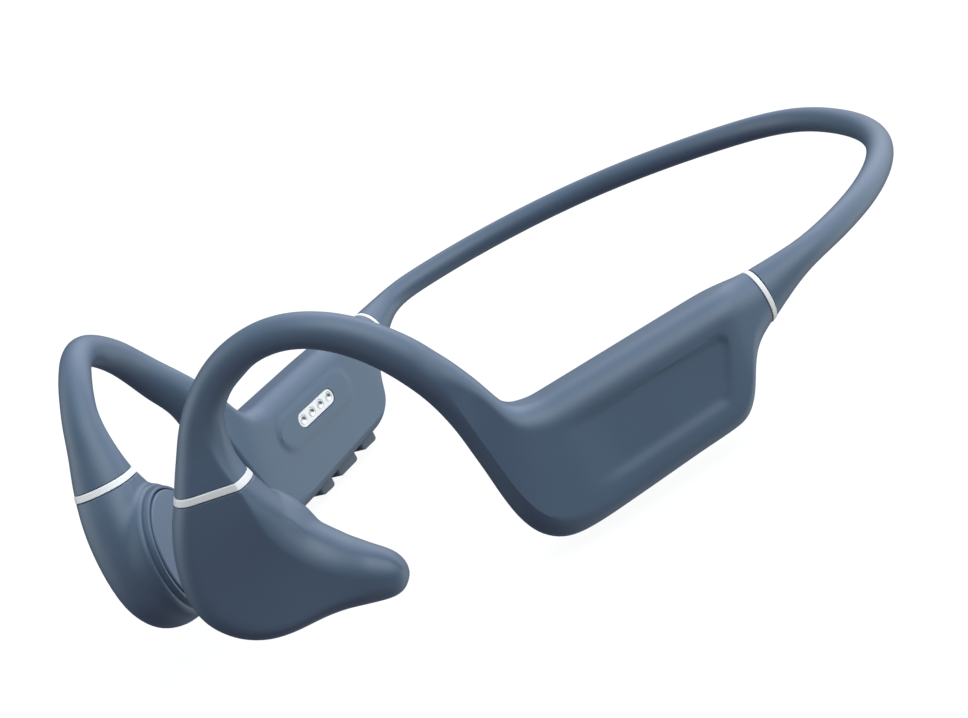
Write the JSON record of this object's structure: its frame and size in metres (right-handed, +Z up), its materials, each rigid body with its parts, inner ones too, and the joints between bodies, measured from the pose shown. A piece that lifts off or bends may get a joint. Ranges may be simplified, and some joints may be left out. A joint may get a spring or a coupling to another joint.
{
  "type": "bone conduction headphones",
  "caption": "Open-ear bone conduction headphones: a behind-the-neck band, ear hooks with electronics boxes, and vibrating pods that rest on the cheekbones.",
  "frame": {"origin": "middle of the bounding box seen from above, at the level of the lowest point, which is the tip of the front button", "axes": "+X to the wearer's left, -Y forwards, so the pods are at -Y and the neckband's back is at +Y, +Z up"},
  "size_m": [0.1114, 0.1392, 0.047],
  "materials": {
    "silicone_skin": "matte, soft to the touch",
    "pad_silicone": "matte, soft to the touch",
    "trim_ring": "satin white",
    "button_rubber": "matte dark slate",
    "casing_plastic": "moulded, matt",
    "insert_plastic": "satin white",
    "spring_wire": "drawn titanium alloy",
    "cable_jacket": "smooth jacket",
    "contact_plating": "plated, satin",
    "coil_copper": "enamelled copper winding",
    "magnet_nickel": "nickel plated",
    "transducer_steel": "stamped steel",
    "cell_foil": "laminate pouch",
    "circuit_board": "solder mask",
    "shield_metal": "stamped can"
  },
  "bodies": {
    "right_arm": {"charging_contact_1": "contact_plating", "charging_contact_2": "contact_plating", "charging_contact_3": "contact_plating", "charging_contact_4": "contact_plating", "charging_insert": "insert_plastic", "charging_magnet_1": "magnet_nickel", "charging_magnet_2": "magnet_nickel", "control_case_inner": "casing_plastic", "control_case_outer": "casing_plastic", "front_ring_right": "trim_ring", "hook_cable_right": "cable_jacket", "hook_wire_right": "spring_wire", "magnet_right": "magnet_nickel", "magnet_yoke_right": "transducer_steel", "main_board": "circuit_board", "microphone": "shield_metal", "neckband_cable_right": "cable_jacket", "neckband_sleeve_right": "silicone_skin", "neckband_wire_right": "spring_wire", "pad_seal_right": "pad_silicone", "play_switch": "shield_metal", "pod_shell_right": "silicone_skin", "pole_plate_right": "transducer_steel", "radio_module": "shield_metal", "rear_ring_right": "trim_ring", "side_skin_right": "silicone_skin", "spring_plate_right": "transducer_steel", "volume_down_switch": "shield_metal", "volume_up_switch": "shield_metal"},
    "left_arm": {"battery_board": "circuit_board", "battery_case_inner": "casing_plastic", "battery_case_outer": "casing_plastic", "battery_cell": "cell_foil", "front_ring_left": "trim_ring", "hook_cable_left": "cable_jacket", "hook_wire_left": "spring_wire", "magnet_left": "magnet_nickel", "magnet_yoke_left": "transducer_steel", "neckband_cable_left": "cable_jacket", "neckband_sleeve_left": "silicone_skin", "neckband_wire_left": "spring_wire", "pad_seal_left": "pad_silicone", "pod_shell_left": "silicone_skin", "pole_plate_left": "transducer_steel", "rear_ring_left": "trim_ring", "side_skin_left": "silicone_skin", "spring_plate_left": "transducer_steel"},
    "right_pad": {"contact_pad_right": "pad_silicone", "drive_plate_right": "transducer_steel", "voice_coil_right": "coil_copper"},
    "left_pad": {"contact_pad_left": "pad_silicone", "drive_plate_left": "transducer_steel", "voice_coil_left": "coil_copper"},
    "volume_up_key": {"volume_up_button": "button_rubber"},
    "play_key": {"play_button": "button_rubber"},
    "volume_down_key": {"volume_down_button": "button_rubber"}
  },
  "joints": [
    {"name": "band_flex", "type": "hinge", "parent": "right_arm", "child": "left_arm", "pos_m": [0, 0.06963, 0.01749], "axis": [0, 0, 1], "range_deg": [-2, 36], "stiffness_Nm_per_rad": 0.16},
    {"name": "left_pad_vibration", "type": "slide", "parent": "left_arm", "child": "left_pad", "axis": [-0.7431, 0.6691, 0], "range_m": [-0.00015, 0.00015], "stiffness_N_per_m": 30},
    {"name": "right_pad_vibration", "type": "slide", "parent": "right_arm", "child": "right_pad", "axis": [0.7431, 0.6691, 0], "range_m": [-0.00015, 0.00015], "stiffness_N_per_m": 30},
    {"name": "volume_up_press", "type": "slide", "parent": "right_arm", "child": "volume_up_key", "axis": [0, 0, 1], "range_m": [0, 0.0003], "stiffness_N_per_m": 2},
    {"name": "play_press", "type": "slide", "parent": "right_arm", "child": "play_key", "axis": [0, 0, 1], "range_m": [0, 0.0003], "stiffness_N_per_m": 2},
    {"name": "volume_down_press", "type": "slide", "parent": "right_arm", "child": "volume_down_key", "axis": [0, 0, 1], "range_m": [0, 0.0003], "stiffness_N_per_m": 2}
  ]
}
